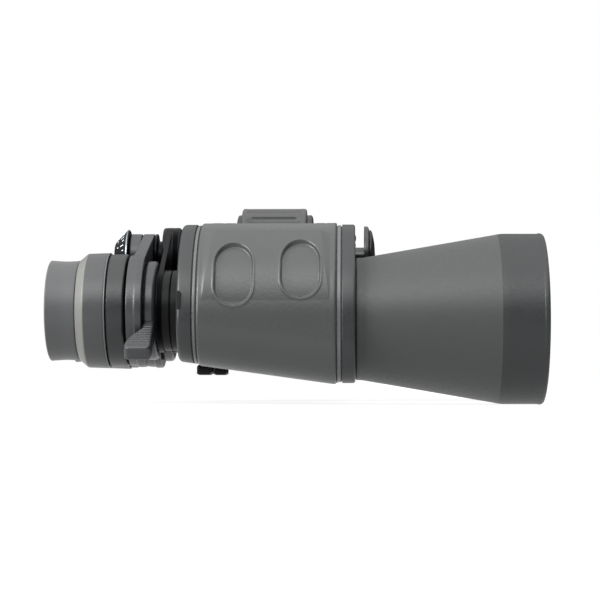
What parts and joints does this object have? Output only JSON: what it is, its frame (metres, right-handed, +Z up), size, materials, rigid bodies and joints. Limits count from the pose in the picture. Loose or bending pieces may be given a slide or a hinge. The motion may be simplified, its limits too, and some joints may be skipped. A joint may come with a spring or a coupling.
{
  "type": "zoom porro prism binoculars",
  "caption": "Rubber-armoured Porro-prism binoculars with a zoom lever, centre focusing wheel, folding bridge, dioptre ring, soft eyecups and deep objective hoods.",
  "frame": {"origin": "on the floor under the middle of the bounding box, between the two barrels", "axes": "+X along the optical axes towards the objectives, +Y to the user's left, +Z up, with the hinge at the top"},
  "size_m": [0.184, 0.1872, 0.0769],
  "materials": {
    "armour_rubber": "satin moulded rubber armour, fine grain",
    "cover_plastic": "satin moulded glass-filled nylon",
    "body_plastic": "satin moulded glass-filled nylon",
    "black_paint": "semi-gloss black paint",
    "eyecup_rubber": "soft matt rubber",
    "grip_rubber": "ribbed matt rubber",
    "optical_glass": "polished, coated",
    "lens_cell_black": "matt black anodised",
    "spring_steel": "bright rolled strip",
    "turned_steel": "turned",
    "brass": "turned"
  },
  "bodies": {
    "left_barrel": {"left_armour": "armour_rubber", "left_objective_barrel": "armour_rubber", "left_rear_cover": "cover_plastic", "left_front_cover": "cover_plastic", "left_prism_housing": "body_plastic", "left_strap_lug": "black_paint", "left_objective_crown": "optical_glass", "left_objective_flint": "optical_glass", "left_rear_prism": "optical_glass", "left_front_prism": "optical_glass", "left_objective_retainer": "lens_cell_black", "left_prism_plate": "lens_cell_black", "left_rear_prism_clip": "spring_steel", "left_front_prism_clip": "spring_steel", "hinge_sleeve": "black_paint", "tripod_socket": "turned_steel"},
    "right_barrel": {"right_armour": "armour_rubber", "right_objective_barrel": "armour_rubber", "right_rear_cover": "cover_plastic", "right_front_cover": "cover_plastic", "right_prism_housing": "body_plastic", "right_strap_lug": "black_paint", "right_objective_crown": "optical_glass", "right_objective_flint": "optical_glass", "right_rear_prism": "optical_glass", "right_front_prism": "optical_glass", "right_objective_retainer": "lens_cell_black", "right_prism_plate": "lens_cell_black", "right_rear_prism_clip": "spring_steel", "right_front_prism_clip": "spring_steel"},
    "focus_wheel": {"focus_wheel_hub": "cover_plastic", "focus_wheel_grip": "grip_rubber", "focus_nut": "brass"},
    "focus_bridge": {"left_eyepiece_arm": "cover_plastic", "left_ocular_tube": "black_paint", "left_collar_ring": "cover_plastic", "left_eyepiece_head": "armour_rubber", "left_eyecup": "eyecup_rubber", "left_eye_lens": "optical_glass", "left_zoom_band": "spring_steel", "focus_shaft": "turned_steel", "thrust_washer": "spring_steel", "interpupillary_scale_cap": "black_paint"},
    "right_arm": {"right_eyepiece_arm": "cover_plastic", "right_ocular_tube": "black_paint", "right_zoom_band": "spring_steel"},
    "right_eyepiece_head": {"right_eyepiece_head": "armour_rubber", "right_eyecup": "eyecup_rubber", "right_eye_lens": "optical_glass"},
    "dioptre_ring": {"dioptre_ring": "cover_plastic"},
    "right_zoom_ring": {"right_zoom_ring": "cover_plastic"},
    "left_zoom_ring": {"left_zoom_ring": "cover_plastic"},
    "zoom_drum": {"zoom_drum": "black_paint"},
    "right_zoom_cell": {"right_zoom_cell": "lens_cell_black", "right_zoom_lens": "optical_glass"},
    "left_zoom_cell": {"left_zoom_cell": "lens_cell_black", "left_zoom_lens": "optical_glass"},
    "tripod_cap": {"tripod_socket_cap": "black_paint"}
  },
  "joints": [
    {"name": "interpupillary_fold", "type": "hinge", "parent": "left_barrel", "child": "right_barrel", "pos_m": [0, 0, 0.058], "axis": [1, 0, 0], "range_deg": [-24, 18]},
    {"name": "focus_wheel_turn", "type": "hinge", "parent": "left_barrel", "child": "focus_wheel", "pos_m": [0, 0, 0.058], "axis": [1, 0, 0], "range_deg": [-146, 398]},
    {"name": "focus_slide", "type": "slide", "parent": "left_barrel", "child": "focus_bridge", "axis": [1, 0, 0], "range_m": [-0.0055, 0.002]},
    {"name": "right_arm_fold", "type": "hinge", "parent": "focus_bridge", "child": "right_arm", "pos_m": [0, 0, 0.058], "axis": [1, 0, 0], "range_deg": [-24.5, 18.5]},
    {"name": "zoom_lever_turn", "type": "hinge", "parent": "right_arm", "child": "right_zoom_ring", "pos_m": [0, -0.032, 0.0353], "axis": [-1, 0, 0], "range_deg": [0, 90]},
    {"name": "left_zoom_turn", "type": "hinge", "parent": "focus_bridge", "child": "left_zoom_ring", "pos_m": [0, 0.032, 0.0353], "axis": [-1, 0, 0], "range_deg": [-1, 91]},
    {"name": "zoom_drum_turn", "type": "hinge", "parent": "focus_bridge", "child": "zoom_drum", "pos_m": [0, 0, 0.058], "axis": [-1, 0, 0], "range_deg": [-2, 130]},
    {"name": "right_zoom_cell_slide", "type": "slide", "parent": "right_arm", "child": "right_zoom_cell", "axis": [1, 0, 0], "range_m": [-0.0001, 0.0121]},
    {"name": "left_zoom_cell_slide", "type": "slide", "parent": "focus_bridge", "child": "left_zoom_cell", "axis": [1, 0, 0], "range_m": [-0.0001, 0.0121]},
    {"name": "dioptre_turn", "type": "hinge", "parent": "right_arm", "child": "dioptre_ring", "pos_m": [0, -0.032, 0.0353], "axis": [1, 0, 0], "range_deg": [-2, 182]},
    {"name": "dioptre_slide", "type": "slide", "parent": "right_arm", "child": "right_eyepiece_head", "axis": [1, 0, 0], "range_m": [-0.0024, 0]},
    {"name": "tripod_cap_pull", "type": "slide", "parent": "left_barrel", "child": "tripod_cap", "axis": [1, 0, 0], "range_m": [0, 0.03]}
  ],
  "couplings": [
    {"joint": "right_arm_fold", "follows": "interpupillary_fold", "ratio": 1},
    {"joint": "focus_wheel_turn", "follows": "focus_slide", "rad_per_m": -1256.6},
    {"joint": "left_zoom_turn", "follows": "zoom_lever_turn", "ratio": 1},
    {"joint": "zoom_drum_turn", "follows": "zoom_lever_turn", "ratio": 1.4167},
    {"joint": "right_zoom_cell_slide", "follows": "zoom_lever_turn", "m_per_rad": 0.0076394},
    {"joint": "left_zoom_cell_slide", "follows": "zoom_lever_turn", "m_per_rad": 0.0076394},
    {"joint": "dioptre_turn", "follows": "dioptre_slide", "rad_per_m": -1309}
  ]
}
